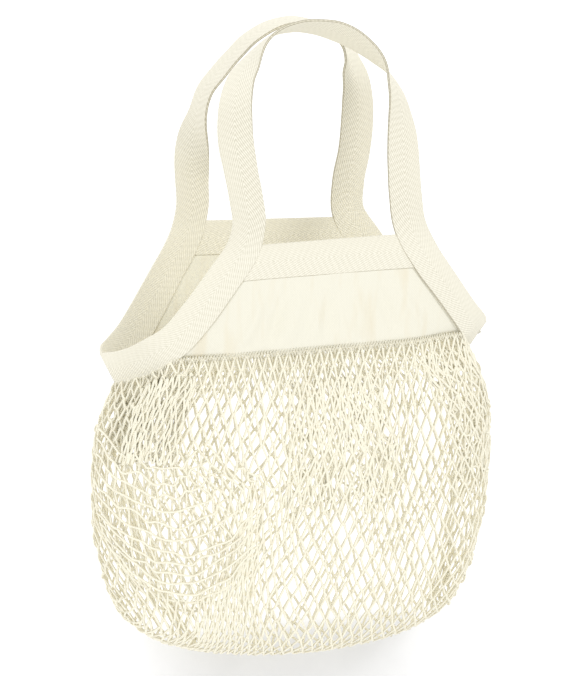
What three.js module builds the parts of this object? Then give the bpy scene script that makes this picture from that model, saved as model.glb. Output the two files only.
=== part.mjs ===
import * as THREE from 'three';

// Mesh market bag: a net body of knotted cotton cord, hung from two canvas panels.
// One long cotton tape runs up the slanted side of each panel, over as the carry
// loop, and down the other side. The bag lies on its back panel: +X is to the
// right, +Y towards the loops, +Z up through the front panel. Millimetres.

// ---------------------------------------------------------------- dimensions
const TAPE_WIDTH = 25;
const TAPE_THICKNESS = 2;        // two layers of tape with the canvas edge between
const TAPE_CHAMFER = 0.4;
const CANVAS_THICKNESS = 0.8;
const NET_THICKNESS = 2.4;       // one cord
const GAP = 0.3;                 // between the tapes at a side seam, and a hem and its canvas
const EDGE_GAP = 0.7;            // between a panel's slanted edge and the long tape
const NET_GAP = 2.4;             // between the net's thick upper edge and what it is sewn to

const HEM_DEPTH = 25;            // the tape along the top edge of each panel
const FRONT_TOP = 314;           // top edge of the front panel, from the bag's foot
const BACK_TOP_LEFT = 315.5;     // the back panel hangs a little askew
const BACK_TOP_RIGHT = 311;
const FRONT_SEAM = 236;          // lower edge of the front canvas
const BACK_SEAM_LEFT = 228;
const BACK_SEAM_RIGHT = 235;
const FRONT_LEVEL = 97;          // height of the front panel over the floor
const PANEL_ROLL_START = 0.5;    // share of the half width that stays level

const MOUTH_MID = 50;            // height of the bag's middle plane
const NET_HALF_DEPTH = 48.6;
const NET_FOOT_LEVEL = 42;       // height of the rounded foot of the net
const FRONT_FULLNESS = 2.4;      // power of the pillow's curve: 2 is an ellipse
const BACK_FULLNESS = 3.2;       // squarer, because the back lies flat on the floor
const SEAM_REACH = 0.4;          // share of the net's height that the seam line shapes
const FOOT_START = 0.3;          // share down from which the sides turn to the foot
const NET_COLUMNS = 38;          // facets across the front, and across the back
const NET_ROWS = 18;

const TAPE_STEPS = 3;            // sections between two stations of a tape
const PANEL_COLUMNS = 20;
const CANVAS_ROWS = 8;
const HEM_ROWS = 4;

// Stations of the long tapes, from the left side seam over the loop to the right
// one: the middle of the tape, and which way its width points, from the outer
// edge to the edge that faces into the loop, as a bearing in plan from +X and a
// tilt up from the floor, in degrees.
const FRONT_TAPE = [
  [-142, 223, 44, -64, 4], [-138, 228, 62, -56, 0], [-132, 233, 75, -55, 0],
  [-124, 241, 87, -50, 2], [-112, 249, 93, -42, 10], [-97, 265, 95.5, -36, 12],
  [-77, 290, 96.5, -28, 8], [-61, 312, 97, -14, 3], [-56.5, 330, 97, -2, 0],
  [-58, 346, 96, 0, 0], [-61, 367, 93, 2, 3], [-62, 388, 86, 7, 20],
  [-58, 410, 76, 10, 42], [-50, 424, 64, 0, 66], [-40, 434, 54, -60, 84],
  [-27, 446, 46, 156, 75], [-12, 454.5, 41, 143, 68], [4, 457.5, 38.5, 125, 62],
  [20, 456.5, 37.5, 116, 57], [34, 453, 37, 102, 53], [46, 447.5, 37, 95, 53],
  [57, 440, 39, 97, 59], [66, 431, 42.5, 115, 66], [72.5, 421, 47, 155, 62],
  [75, 410, 54, 168, 47], [74.5, 396, 63, 172, 31], [72, 383, 72, 176, 16],
  [68, 364, 83, 179, 4], [65.5, 342, 92, 180, 0], [67, 320, 96.5, 190, 2],
  [79, 297, 96, 211, 12], [98, 272, 92.5, 211, 20], [121, 244, 82, 208, 25],
  [137, 229.5, 60, 209, 24],
];
const BACK_TAPE = [
  [-142, 223, 44, -64, 4], [-134, 226, 28, -58, 14], [-123, 229, 16, -48, 22],
  [-108, 239, 6, -38, 18], [-82, 277, 1, -31, 0], [-66, 305, 1, -24, 0],
  [-60.5, 327, 1, -5, 0], [-61, 346, 1.5, 0, 4], [-63.5, 372, 9, 12, 46],
  [-61.5, 394, 13.5, 30, 78], [-56, 411, 13.5, -40, 87], [-47, 422, 13.5, -60, 86],
  [-34, 435.5, 13.5, -80, 87], [-19.5, 448, 13.5, -100, 88], [-1, 456.5, 13.5, -130, 87],
  [17, 458, 13.5, -170, 81], [34, 452.5, 13.5, 175, 74], [48, 441.5, 13, 165, 64],
  [55, 432, 12, 168, 51], [60, 420.5, 9, 173, 35], [65, 408, 5.5, 178, 19],
  [67.5, 394, 2.5, 178, 6], [68, 380, 1, 179, 0], [66, 360, 1, 180, 0],
  [61, 336, 1, 182, 0], [61, 314, 1, 199, 0], [76, 291, 1, 217, 0],
  [103, 256, 4.5, 216, 14], [122, 238, 21, 212, 24], [137, 229.5, 60, 209, 24],
];

// The net's outline seen from above, from the left side seam round the foot to
// the right one. The foot starts and ends at the two corner points.
const NET_LEFT = [
  [-137, 212], [-147.5, 185], [-154.5, 152], [-153.5, 118], [-147, 84], [-139, 58], [-128, 39],
];
const NET_FOOT = [
  [-128, 39], [-111, 24], [-78, 11], [-36, 3], [8, 0], [50, 1.5], [88, 8], [111, 18], [125, 34],
];
const NET_RIGHT = [
  [128, 223.5], [141, 200], [149, 163], [149, 128], [144, 88], [136.5, 56], [125, 34],
];

// ------------------------------------------------------------------- helpers
const rad = THREE.MathUtils.degToRad;
const lerp = THREE.MathUtils.lerp;
const smooth = (t) => THREE.MathUtils.smoothstep(t, 0, 1);

function material(color, roughness) {
  return new THREE.MeshStandardMaterial({ color, roughness, metalness: 0 });
}

function geometryFrom(points, triangles) {
  const geometry = new THREE.BufferGeometry();
  const corners = points.flatMap((p) => [p.x, p.y, p.z]);
  geometry.setAttribute('position', new THREE.Float32BufferAttribute(corners, 3));
  geometry.setIndex(triangles);
  geometry.computeVertexNormals();
  return geometry;
}

function mesh(name, geometry, look) {
  const piece = new THREE.Mesh(geometry, look);
  piece.name = name;
  return piece;
}

// A plane curve through a few points, and its point a share t of the way along.
function outline(points) {
  return new THREE.CatmullRomCurve3(points.map(([x, y]) => new THREE.Vector3(x, y, 0)), false, 'centripetal');
}

// The x of a side outline at height y.
function sideX(curve, y) {
  let low = 0;
  let high = 1;
  for (let step = 0; step < 24; step += 1) {
    const middle = (low + high) / 2;
    if (curve.getPoint(middle).y > y) low = middle;
    else high = middle;
  }
  return curve.getPoint((low + high) / 2).x;
}

// --------------------------------------------------------------------- tapes
// Dense sections along a tape: middle, tangent, width direction and face normal.
function tapeSections(stations) {
  const middle = new THREE.CatmullRomCurve3(
    stations.map(([x, y, z]) => new THREE.Vector3(x, y, z)), false, 'centripetal');
  const width = new THREE.CatmullRomCurve3(stations.map(([, , , bearing, tilt]) => new THREE.Vector3(
    Math.cos(rad(tilt)) * Math.cos(rad(bearing)),
    Math.cos(rad(tilt)) * Math.sin(rad(bearing)),
    Math.sin(rad(tilt)))), false, 'catmullrom', 0.5);
  const count = (stations.length - 1) * TAPE_STEPS;
  const sections = [];
  for (let i = 0; i <= count; i += 1) {
    const t = i / count;
    const along = middle.getTangent(t);
    const across = width.getPoint(t);
    across.addScaledVector(along, -across.dot(along)).normalize();
    sections.push({
      middle: middle.getPoint(t),
      along,
      across,
      face: new THREE.Vector3().crossVectors(across, along),
    });
  }
  return sections;
}

// The edge that faces into the loop, a gap away from the tape itself.
function innerEdge(sections, gap) {
  return sections.map((s) => s.middle.clone().addScaledVector(s.across, TAPE_WIDTH / 2 + gap));
}

// The two tapes meet at a side seam on the plane that halves the angle between
// them. Each end section is slid along its tape onto that plane, less half a gap.
function seamPlane(mine, other, outward) {
  const away = mine.along.clone().multiplyScalar(outward);
  const otherAway = other.along.clone().multiplyScalar(outward);
  return { point: mine.middle, normal: away.sub(otherAway).normalize() };
}

function tapeSolid(sections, startPlane, endPlane) {
  const w = TAPE_WIDTH / 2;
  const h = TAPE_THICKNESS / 2;
  const c = TAPE_CHAMFER;
  const profile = [
    [-w, -h + c], [-w + c, -h], [w - c, -h], [w, -h + c],
    [w, h - c], [w - c, h], [-w + c, h], [-w, h - c],
  ];
  const points = [];
  sections.forEach((s, i) => {
    const plane = i === 0 ? startPlane : (i === sections.length - 1 ? endPlane : null);
    profile.forEach(([a, b]) => {
      const p = s.middle.clone().addScaledVector(s.across, a).addScaledVector(s.face, b);
      if (plane) {
        const slide = (GAP / 2 - p.clone().sub(plane.point).dot(plane.normal)) / s.along.dot(plane.normal);
        p.addScaledVector(s.along, slide);
      }
      p.z = Math.max(p.z, 0);
      points.push(p);
    });
  });
  const n = profile.length;
  const last = (sections.length - 1) * n;
  const triangles = [];
  for (let i = 0; i < sections.length - 1; i += 1) {
    for (let k = 0; k < n; k += 1) {
      const a = i * n + k;
      const b = i * n + (k + 1) % n;
      triangles.push(a, a + n, b, b, a + n, b + n);
    }
  }
  for (let k = 1; k < n - 1; k += 1) {
    triangles.push(0, k, k + 1);
    triangles.push(last, last + k + 1, last + k);
  }
  return geometryFrom(points, triangles);
}

// -------------------------------------------------------------------- panels
// Where a tape's inner edge crosses height y, on its left or its right slope.
function edgeAt(edge, y, right) {
  const half = Math.floor(edge.length / 2);
  const run = right ? edge.slice(half).reverse() : edge.slice(0, half);
  const upper = run.findIndex((p) => p.y > y);
  const a = run[upper - 1];
  const b = run[upper];
  return a.clone().lerp(b, (y - a.y) / (b.y - a.y));
}

// A point of a panel: level in the middle, rolling to meet the tapes at its sides.
function panelPoint(edge, yLeft, yRight, share, level) {
  const left = edgeAt(edge, yLeft, false);
  const right = edgeAt(edge, yRight, true);
  const p = left.clone().lerp(right, share);
  const side = Math.abs(share * 2 - 1);
  const roll = smooth((side - PANEL_ROLL_START) / (1 - PANEL_ROLL_START));
  p.z = lerp(level, share < 0.5 ? left.z : right.z, roll);
  return p;
}

// A sheet between two heights of a panel, with the given thickness.
function sheetSolid(edge, top, bottom, level, thickness, rows) {
  const upper = [];
  const lower = [];
  for (let j = 0; j <= rows; j += 1) {
    const yLeft = lerp(top[0], bottom[0], j / rows);
    const yRight = lerp(top[1], bottom[1], j / rows);
    for (let i = 0; i <= PANEL_COLUMNS; i += 1) {
      const p = panelPoint(edge, yLeft, yRight, i / PANEL_COLUMNS, level);
      upper.push(new THREE.Vector3(p.x, p.y, p.z + thickness / 2));
      lower.push(new THREE.Vector3(p.x, p.y, Math.max(p.z - thickness / 2, 0)));
    }
  }
  const across = PANEL_COLUMNS + 1;
  const under = upper.length;
  const triangles = [];
  for (let j = 0; j < rows; j += 1) {
    for (let i = 0; i < PANEL_COLUMNS; i += 1) {
      const a = j * across + i;
      const b = a + 1;
      const c = a + across;
      const d = c + 1;
      triangles.push(a, c, b, b, c, d);
      triangles.push(under + a, under + b, under + c, under + b, under + d, under + c);
    }
  }
  const rim = [];
  for (let i = 0; i < PANEL_COLUMNS; i += 1) rim.push(i);
  for (let j = 0; j < rows; j += 1) rim.push(j * across + PANEL_COLUMNS);
  for (let i = PANEL_COLUMNS; i > 0; i -= 1) rim.push(rows * across + i);
  for (let j = rows; j > 0; j -= 1) rim.push(j * across);
  rim.forEach((a, k) => {
    const b = rim[(k + 1) % rim.length];
    triangles.push(a, b, under + a, b, under + b, under + a);
  });
  return geometryFrom([...upper, ...lower], triangles);
}

// ----------------------------------------------------------------------- net
// The line that the net hangs from: along the left tape's inner edge from the
// side seam to the canvas, along the canvas, and along the right tape's edge.
function seamLine(edge, yLeft, yRight, level) {
  const half = Math.floor(edge.length / 2);
  const points = edge.slice(0, half).filter((p) => p.y < yLeft);
  for (let i = 0; i <= PANEL_COLUMNS; i += 1) {
    const p = panelPoint(edge, yLeft, yRight, i / PANEL_COLUMNS, level);
    p.y -= NET_GAP;
    points.push(p);
  }
  points.push(...edge.slice(half).filter((p) => p.y < yRight));
  return new THREE.CatmullRomCurve3(points, false, 'centripetal');
}

// A point of the net a share u of the way across from left to right, and v down
// from the seam line to the foot. side is 1 for the front and -1 for the back.
function netPoint(seam, leftSide, foot, rightSide, u, v, side) {
  const top = seam.getPointAt(u);
  const leftTop = seam.getPointAt(0);
  const rightTop = seam.getPointAt(1);
  const leftFoot = foot.getPoint(0);
  const rightFoot = foot.getPoint(1);

  // In plan: between the two side outlines, swept down to the foot's curve.
  const turn = (1 - Math.cos(Math.PI * u)) / 2;
  const low = foot.getPointAt(turn);
  const topSpread = (top.x - leftTop.x) / (rightTop.x - leftTop.x);
  const spread = lerp(topSpread, turn, smooth(v / SEAM_REACH));
  const xLeft = sideX(leftSide, lerp(leftTop.y, leftFoot.y, v));
  const xRight = sideX(rightSide, lerp(rightTop.y, rightFoot.y, v));
  const sweep = low.x - lerp(leftFoot.x, rightFoot.x, spread);
  const x = lerp(xLeft, xRight, spread) + sweep * smooth((v - FOOT_START) / (1 - FOOT_START));
  const y = lerp(top.y, low.y, v);

  // In height: a rounded pillow round the spine, which starts at the seam line.
  const power = side > 0 ? FRONT_FULLNESS : BACK_FULLNESS;
  const crown = (1 - Math.abs(2 * spread - 1) ** power) ** (1 / power);
  const close = (1 - v ** (power + 1)) ** (1 / power);
  const sideLevel = lerp(lerp(leftTop.z, rightTop.z, u), MOUTH_MID, smooth(v * 2));
  const spine = lerp(sideLevel, NET_FOOT_LEVEL, smooth((v - SEAM_REACH) / (1 - SEAM_REACH)));
  const depth = side > 0 ? NET_HALF_DEPTH : spine - NET_THICKNESS / 2;
  const full = spine + side * depth * crown * close;
  return new THREE.Vector3(x, y, lerp(top.z, full, smooth(v * 3)));
}

function netSolid(frontSeam, backSeam) {
  const leftSide = outline(NET_LEFT);
  const foot = outline(NET_FOOT);
  const rightSide = outline(NET_RIGHT);
  const ring = NET_COLUMNS * 2;
  const middle = [];
  for (let j = 0; j < NET_ROWS; j += 1) {
    for (let i = 0; i < ring; i += 1) {
      const front = i <= NET_COLUMNS;
      const seam = front ? frontSeam : backSeam;
      const u = front ? i / NET_COLUMNS : (ring - i) / NET_COLUMNS;
      middle.push(netPoint(seam, leftSide, foot, rightSide, u, j / NET_ROWS, front ? 1 : -1));
    }
  }
  const footStart = middle.length;
  for (let i = 0; i <= NET_COLUMNS; i += 1) {
    middle.push(netPoint(frontSeam, leftSide, foot, rightSide, i / NET_COLUMNS, 1, 1));
  }
  const index = (i, j) => {
    const k = (i + ring) % ring;
    if (j < NET_ROWS) return j * ring + k;
    return footStart + (k <= NET_COLUMNS ? k : ring - k);
  };
  const faces = [];
  for (let j = 0; j < NET_ROWS; j += 1) {
    for (let i = 0; i < ring; i += 1) {
      const [a, b, c, d] = [index(i, j), index(i + 1, j), index(i, j + 1), index(i + 1, j + 1)];
      faces.push([a, c, b]);
      faces.push([b, c, d]);
    }
  }
  const skin = faces.filter(([a, b, c]) => a !== b && b !== c && a !== c);
  const normals = geometryFrom(middle, skin.flat()).getAttribute('normal');
  const shift = (sign) => middle.map((p, k) => {
    const normal = new THREE.Vector3().fromBufferAttribute(normals, k);
    const q = p.clone().addScaledVector(normal, sign * NET_THICKNESS / 2);
    q.z = Math.max(q.z, sign > 0 ? 0 : NET_THICKNESS * 0.8);
    return q;
  });
  const inside = middle.length;
  const triangles = [];
  skin.forEach(([a, b, c]) => {
    triangles.push(a, b, c);
    triangles.push(inside + a, inside + c, inside + b);
  });
  for (let i = 0; i < ring; i += 1) {
    const a = index(i, 0);
    const b = index(i + 1, 0);
    triangles.push(a, b, inside + a, b, inside + b, inside + a);
  }
  return geometryFrom([...shift(1), ...shift(-1)], triangles);
}

// ------------------------------------------------------------------ assembly
const cord = material(0xf3edda, 0.95);
const canvas = material(0xf6f1df, 0.9);
const tape = material(0xf0ead6, 0.9);

const frontSections = tapeSections(FRONT_TAPE);
const backSections = tapeSections(BACK_TAPE);
const ends = frontSections.length - 1;
const backEnds = backSections.length - 1;
const frontEdge = innerEdge(frontSections, EDGE_GAP);
const backEdge = innerEdge(backSections, EDGE_GAP);
const frontNetEdge = innerEdge(frontSections, NET_GAP);
const backNetEdge = innerEdge(backSections, NET_GAP);

const leftFront = seamPlane(frontSections[0], backSections[0], 1);
const leftBack = seamPlane(backSections[0], frontSections[0], 1);
const rightFront = seamPlane(frontSections[ends], backSections[backEnds], -1);
const rightBack = seamPlane(backSections[backEnds], frontSections[ends], -1);

const frontHemFoot = FRONT_TOP - HEM_DEPTH;
const backHemFoot = [BACK_TOP_LEFT - HEM_DEPTH, BACK_TOP_RIGHT - HEM_DEPTH];
const backTapeLevel = TAPE_THICKNESS / 2;

const frontSeam = seamLine(frontNetEdge, FRONT_SEAM, FRONT_SEAM, FRONT_LEVEL);
const backSeam = seamLine(backNetEdge, BACK_SEAM_LEFT, BACK_SEAM_RIGHT, NET_THICKNESS / 2);

const bag = new THREE.Group();
bag.add(mesh('net_body', netSolid(frontSeam, backSeam), cord));
bag.add(mesh('front_panel', sheetSolid(frontEdge, [frontHemFoot - GAP, frontHemFoot - GAP],
  [FRONT_SEAM, FRONT_SEAM], FRONT_LEVEL, CANVAS_THICKNESS, CANVAS_ROWS), canvas));
bag.add(mesh('back_panel', sheetSolid(backEdge, [backHemFoot[0] - GAP, backHemFoot[1] - GAP],
  [BACK_SEAM_LEFT, BACK_SEAM_RIGHT], CANVAS_THICKNESS / 2, CANVAS_THICKNESS, CANVAS_ROWS), canvas));
bag.add(mesh('front_top_tape', sheetSolid(frontEdge, [FRONT_TOP, FRONT_TOP],
  [frontHemFoot, frontHemFoot], FRONT_LEVEL, TAPE_THICKNESS, HEM_ROWS), tape));
bag.add(mesh('back_top_tape', sheetSolid(backEdge, [BACK_TOP_LEFT, BACK_TOP_RIGHT],
  backHemFoot, backTapeLevel, TAPE_THICKNESS, HEM_ROWS), tape));
bag.add(mesh('front_handle_tape', tapeSolid(frontSections, leftFront, rightFront), tape));
bag.add(mesh('back_handle_tape', tapeSolid(backSections, leftBack, rightBack), tape));

// The origin is under the middle of the bag, on the floor that it lies on.
const size = new THREE.Box3().setFromObject(bag, true);
bag.position.set(-(size.min.x + size.max.x) / 2, -(size.min.y + size.max.y) / 2, -size.min.z);
bag.updateMatrixWorld(true);

export default bag;
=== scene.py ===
# A small mesh market bag: a net of looped cotton cord, hung from two canvas
# panels between long cotton tapes that run up over the mouth as carry loops. It
# lies on its back panel: +X right, +Y towards the loops, +Z up. The frame is in
# metres. The pieces are worked out in millimetres from the foot of the bag.
import math

import bpy
import numpy as np
from mathutils import Matrix, Vector


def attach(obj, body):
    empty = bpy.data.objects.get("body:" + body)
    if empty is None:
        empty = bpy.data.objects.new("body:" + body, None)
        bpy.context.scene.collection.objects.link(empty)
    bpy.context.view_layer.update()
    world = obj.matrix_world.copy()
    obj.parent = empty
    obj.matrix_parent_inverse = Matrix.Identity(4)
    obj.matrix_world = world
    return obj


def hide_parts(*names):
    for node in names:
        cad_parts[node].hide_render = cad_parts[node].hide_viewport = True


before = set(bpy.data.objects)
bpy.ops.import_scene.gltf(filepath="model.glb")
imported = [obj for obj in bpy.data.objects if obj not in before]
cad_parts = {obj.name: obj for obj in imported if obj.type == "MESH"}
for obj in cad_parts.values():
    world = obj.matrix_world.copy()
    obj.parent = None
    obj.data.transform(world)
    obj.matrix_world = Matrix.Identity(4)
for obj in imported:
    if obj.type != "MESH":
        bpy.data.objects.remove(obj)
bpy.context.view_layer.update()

MM = 0.001

# ------------------------------------------------------------------ the studio
# A white table lit from below, under three softboxes and a white sky. The camera looks down
# on the bag through a long lens, from 23 degrees to its left and 11.5 towards its loops.
SCALE = 1.4 / MM                      # pixels to a metre of bag
IMAGE_HEIGHT = 676                    # pixels
SIDE_TURN = math.radians(23)
LOOPS_TURN = math.radians(11.5)
CAMERA_DISTANCE = 4.0                 # metres, like the rest of the studio
CAMERA_REACH = 50
TARGET = (-0.9 * MM, 3.7 * MM, 50 * MM)


def add_object(name, data):
    """An object in the scene."""
    made = bpy.data.objects.new(name, data)
    bpy.context.scene.collection.objects.link(made)
    return made


def add_node(tree, kind, inputs=(), **settings):
    """A node with its settings, its fixed inputs and what feeds the others."""
    made = tree.nodes.new(kind)
    for name, value in settings.items():
        setattr(made, name, value)
    for socket, value in dict(inputs).items():
        if isinstance(value, bpy.types.NodeSocket):
            tree.links.new(value, made.inputs[socket])
        else:
            made.inputs[socket].default_value = value
    return made


def new_material(name):
    """An empty material, its node tree and its output."""
    made = bpy.data.materials.new(name)
    made.use_nodes = True
    made.node_tree.nodes.clear()
    output = made.node_tree.nodes.new("ShaderNodeOutputMaterial")
    return made, made.node_tree, output


right = np.array([math.cos(SIDE_TURN), 0, math.sin(SIDE_TURN)])
toward = np.array([-math.sin(SIDE_TURN) * math.cos(LOOPS_TURN), math.sin(LOOPS_TURN),
                   math.cos(SIDE_TURN) * math.cos(LOOPS_TURN)])
toward /= np.linalg.norm(toward)
up = np.cross(toward, right)
camera = add_object("camera", bpy.data.cameras.new("camera"))
turn = Matrix([[right[i], up[i], toward[i]] for i in range(3)])
camera.matrix_world = Matrix.Translation(np.array(TARGET) + toward * CAMERA_DISTANCE) @ turn.to_4x4()
camera.data.lens = camera.data.sensor_width * CAMERA_DISTANCE / (IMAGE_HEIGHT / SCALE)
camera.data.clip_end = CAMERA_REACH
bpy.context.scene.camera = camera
bpy.context.scene.view_settings.view_transform = "Standard"

# Opal acrylic: white, finely speckled and lit from below, all but a patch beyond the
# foot, which takes its light from above alone and so shows the shadow of the foot.
PATCH = {"Y": (-0.275, 0.039, 0.075), "X": (0.02, 0.05, 0.19)}   # middle, dark to, fully lit from
BOARD_GLOW = 1.12
PATCH_WHITE, LIT_WHITE = 0.79, 0.12   # how much light from above the board throws back
acrylic, tree, output = new_material("opal_acrylic")
here = add_node(tree, "ShaderNodeTexCoord")
place = add_node(tree, "ShaderNodeSeparateXYZ", {0: here.outputs["Object"]})
beyond = []
for axis, (middle, dark_to, lit_from) in PATCH.items():
    off = add_node(tree, "ShaderNodeMath", {0: place.outputs[axis], 1: middle}, operation="SUBTRACT")
    away = add_node(tree, "ShaderNodeMath", {0: off.outputs[0]}, operation="ABSOLUTE")
    beyond.append(add_node(tree, "ShaderNodeMapRange", {"Value": away.outputs[0], "From Min": dark_to,
                           "From Max": lit_from}, interpolation_type="SMOOTHSTEP"))
lit = add_node(tree, "ShaderNodeMath", {0: beyond[0].outputs["Result"], 1: beyond[1].outputs["Result"]},
               operation="MAXIMUM")
glow = add_node(tree, "ShaderNodeMapRange", {"Value": lit.outputs[0], "To Max": BOARD_GLOW})
shade = add_node(tree, "ShaderNodeMapRange", {"Value": lit.outputs[0], "To Min": PATCH_WHITE,
                 "To Max": LIT_WHITE})
speckle = add_node(tree, "ShaderNodeTexNoise", {"Scale": 900.0, "Detail": 2.0})
grain = add_node(tree, "ShaderNodeMath", {0: speckle.outputs["Fac"], 1: 0.03, 2: shade.outputs["Result"]},
                 operation="MULTIPLY_ADD")
white = add_node(tree, "ShaderNodeCombineColor", dict.fromkeys(range(3), grain.outputs[0]))
board = add_node(tree, "ShaderNodeBsdfPrincipled", {"Base Color": white.outputs[0], "Roughness": 0.9,
                 "Specular IOR Level": 0.0, "Emission Color": (1.0, 1.0, 1.0, 1.0),
                 "Emission Strength": glow.outputs["Result"]})
tree.links.new(board.outputs["BSDF"], output.inputs["Surface"])

TABLE = 6.0                           # from its middle to each side
floor_mesh = bpy.data.meshes.new("white_table")
floor_mesh.from_pydata([(-TABLE, -TABLE, 0), (TABLE, -TABLE, 0), (TABLE, TABLE, 0), (-TABLE, TABLE, 0)],
                       [], [(0, 1, 2, 3)])
floor_mesh.materials.append(acrylic)
floor = add_object("white_table", floor_mesh)


def softbox(name, place, aim, size, watts):
    """A square area light at a place, facing a point."""
    lamp = bpy.data.lights.new(name, "AREA")
    lamp.shape, lamp.size, lamp.energy = "SQUARE", size, watts
    away = Vector(np.array(place, float) - np.array(aim, float))
    add_object(name, lamp).matrix_world = (
        Matrix.Translation(place) @ away.to_track_quat("Z", "Y").to_matrix().to_4x4())


softbox("key_softbox", place=(0.8, 1.1, 1.6), aim=(0, 0, 0.05), size=0.6, watts=9)
softbox("fill_softbox", place=(-1.1, 0.3, 1.0), aim=(0, 0, 0.05), size=1.1, watts=3)
softbox("foot_softbox", place=(-0.2, -1.3, 0.8), aim=(0, 0.1, 0.05), size=1.0, watts=3)
SKY = 0.90                            # its strength
world = bpy.data.worlds.new("studio")
world.use_nodes = True
background = world.node_tree.nodes["Background"]
background.inputs["Color"].default_value = (1.0, 1.0, 1.0, 1.0)
background.inputs["Strength"].default_value = SKY
bpy.context.scene.world = world

# -------------------------------------------------------------- the long tapes
# Two long undyed herringbone tapes, 25 mm wide, each doubled over the slanted
# edge of a panel and stitched shut, and running on as the carry loop. Each lies
# where it fell: the front loop has dropped back onto the one that stands behind.
TAPE_WIDTH = 25.0
TAPE_LAYER = 0.95                     # one layer; two make the 2 mm of the tape
EDGE_ROUND = 0.45
SEWN_IN = 2.6                         # from the inner edge to the line of stitches
SEWN_WIDTH = 0.6
TAPE_STEP = 1.2                       # between two sections of the mesh
SPAN_STEPS = 24                       # of the line between two stations
# Its soft waves: the height, the length along it, the length across and where each starts.
SWELL = [(0.10, 7.3, 9.0, 0.0), (0.08, 12.1, -5.0, 1.3), (0.05, 3.1, math.inf, 2.0)]
CORNER = 5.0                          # how far an end slants across the tape
CORNER_LENGTH = 9.0                   # over which the right end's outer corner is turned under
END_GAP = 0.1                         # between the two tapes' ends, where they are joined
FLOOR_CLEAR = 0.05                    # no cloth or cord lies lower
DESIGN_ORIGIN = (2.593, -231.258, 0)  # the foot of the bag, from the frame's origin

# Middle of the tape, then the bearing and tilt of its width, outer edge to inner.
FRONT_TAPE = [
    (-142, 223, 44, -64, 4), (-138, 228, 62, -56, 0), (-132, 233, 75, -55, 0),
    (-124, 241, 87, -50, 2), (-112, 249, 93, -42, 10), (-97, 265, 95.5, -36, 12),
    (-77, 290, 96.5, -28, 8), (-61, 312, 97, -14, 3), (-56.5, 330, 97, -2, 0),
    (-58, 346, 96, 0, 0), (-61, 367, 93, 2, 3), (-62, 388, 86, 7, 20),
    (-58, 410, 76, 10, 42), (-50, 424, 64, 0, 66), (-40, 434, 54, -60, 84),
    (-27, 446, 46, 156, 75), (-12, 454.5, 41, 143, 68), (4, 457.5, 38.5, 125, 62),
    (20, 456.5, 37.5, 116, 57), (34, 453, 37, 102, 53), (46, 447.5, 37, 95, 53),
    (57, 440, 39, 97, 59), (66, 431, 42.5, 115, 66), (72.5, 421, 47, 155, 62),
    (75, 410, 54, 168, 47), (74.5, 396, 63, 172, 31), (72, 383, 72, 176, 16),
    (68, 364, 83, 179, 4), (65.5, 342, 92, 180, 0), (67, 320, 96.5, 190, 2),
    (79, 297, 96, 211, 12), (98, 272, 92.5, 211, 20), (121, 244, 82, 208, 25),
    (137, 229.5, 60, 209, 24)]
BACK_TAPE = [
    (-142, 223, 44, -64, 4), (-134, 226, 28, -58, 14), (-123, 229, 16, -48, 22),
    (-108, 239, 6, -38, 18), (-82, 277, 1, -31, 0), (-66, 305, 1, -24, 0),
    (-60.5, 327, 1, -5, 0), (-61, 346, 1.5, 0, 4), (-63.5, 372, 9, 12, 46),
    (-61.5, 394, 13.5, 30, 78), (-56, 411, 13.5, -40, 87), (-47, 422, 13.5, -60, 86),
    (-34, 435.5, 13.5, -80, 87), (-19.5, 448, 13.5, -100, 88), (-1, 456.5, 13.5, -130, 87),
    (17, 458, 13.5, -170, 81), (34, 452.5, 13.5, 175, 74), (48, 441.5, 13, 165, 64),
    (55, 432, 12, 168, 51), (60, 420.5, 9, 173, 35), (65, 408, 5.5, 178, 19),
    (67.5, 394, 2.5, 178, 6), (68, 380, 1, 179, 0), (66, 360, 1, 180, 0),
    (61, 336, 1, 182, 0), (61, 314, 1, 199, 0), (76, 291, 1, 217, 0),
    (103, 256, 4.5, 216, 14), (122, 238, 21, 212, 24), (137, 229.5, 60, 209, 24)]


def unit(vectors):
    """Vectors of length one along the last axis."""
    return vectors / np.maximum(np.linalg.norm(vectors, axis=-1, keepdims=True), 1e-12)


def smooth(t):
    """0 to 1 with soft ends."""
    t = np.clip(t, 0, 1)
    return t * t * (3 - 2 * t)


def ridge(x, middle, width):
    """A soft ridge of height one along x = middle."""
    return np.exp(-((x - middle) / width) ** 2)


def hermite(t, a, leave, b, arrive):
    """A curve from a to b, with the directions in which it leaves and arrives."""
    return ((2 * t ** 3 - 3 * t ** 2 + 1) * a + (t ** 3 - 2 * t ** 2 + t) * leave
            + (3 * t ** 2 - 2 * t ** 3) * b + (t ** 3 - t ** 2) * arrive)


def spline(points, steps, centripetal=True):
    """A smooth line through given points, with steps samples to each span."""
    p = np.asarray(points, float)
    p = np.vstack([2 * p[0] - p[1], p, 2 * p[-1] - p[-2]])
    before, a, b, after = p[:-3], p[1:-2], p[2:-1], p[3:]
    if centripetal:
        gap = np.sqrt(np.linalg.norm(np.diff(p, axis=0), axis=1))[:, None]
        g0, g1, g2 = gap[:-2], gap[1:-1], gap[2:]
        leave = ((a - before) / g0 - (b - before) / (g0 + g1) + (b - a) / g1) * g1
        arrive = ((b - a) / g1 - (after - a) / (g1 + g2) + (after - b) / g2) * g1
    else:
        leave, arrive = (b - before) / 2, (after - a) / 2
    t = np.linspace(0, 1, steps, endpoint=False)[None, :, None]
    run = hermite(t, *(x[:, None, :] for x in (a, leave, b, arrive)))
    return np.vstack([run.reshape(-1, p.shape[1]), p[-2]])


def length_along(line):
    """How far along a line each of its points is."""
    return np.concatenate([[0], np.cumsum(np.linalg.norm(np.diff(line, axis=0), axis=1))])


def resample(values, along, at):
    """The columns of values, which belong to the lengths along, at other lengths."""
    return np.stack([np.interp(at, along, column) for column in values.T], axis=1)


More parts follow.
